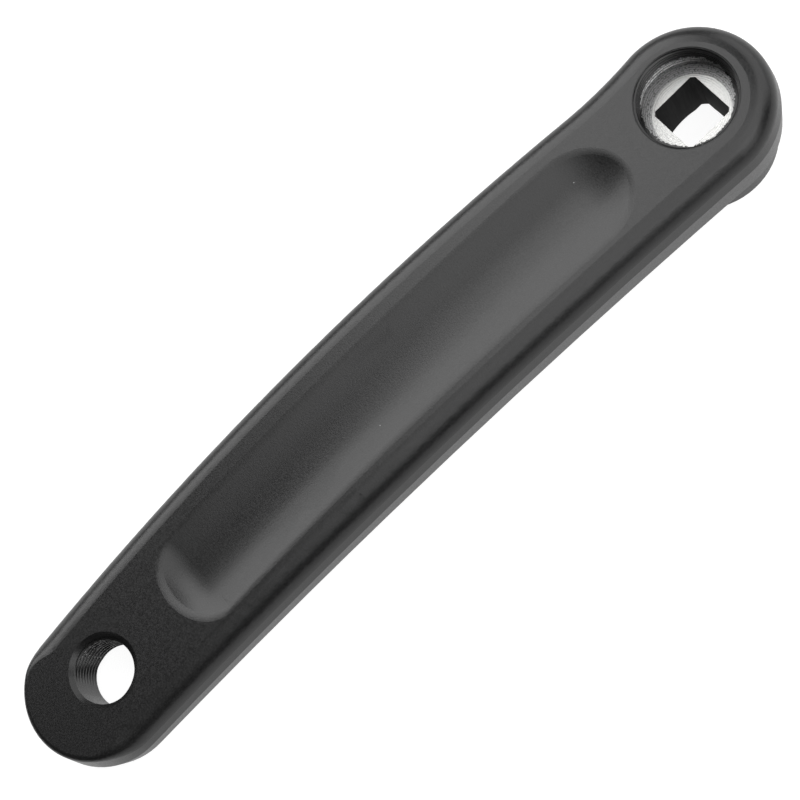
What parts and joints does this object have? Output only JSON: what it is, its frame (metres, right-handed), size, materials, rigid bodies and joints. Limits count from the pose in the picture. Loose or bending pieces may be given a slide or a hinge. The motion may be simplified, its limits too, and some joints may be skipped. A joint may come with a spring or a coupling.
{
  "type": "bicycle crank arm",
  "caption": "Left bicycle crank arm: long flat arm with a shallow scoop on its outer face, square taper hub with an extractor thread, and a threaded pedal eye.",
  "frame": {"origin": "on the spindle axis, at the inner face of the boss around the square", "axes": "+X from the spindle axis to the pedal axis, +Z along the spindle axis to the outer face"},
  "size_m": [0.209, 0.0397, 0.0241],
  "materials": {
    "coated_aluminium": "satin black coating over forged aluminium, bare metal in the extractor recess and the pedal thread"
  },
  "bodies": {
    "root": {"crank_arm": "coated_aluminium"}
  },
  "joints": []
}
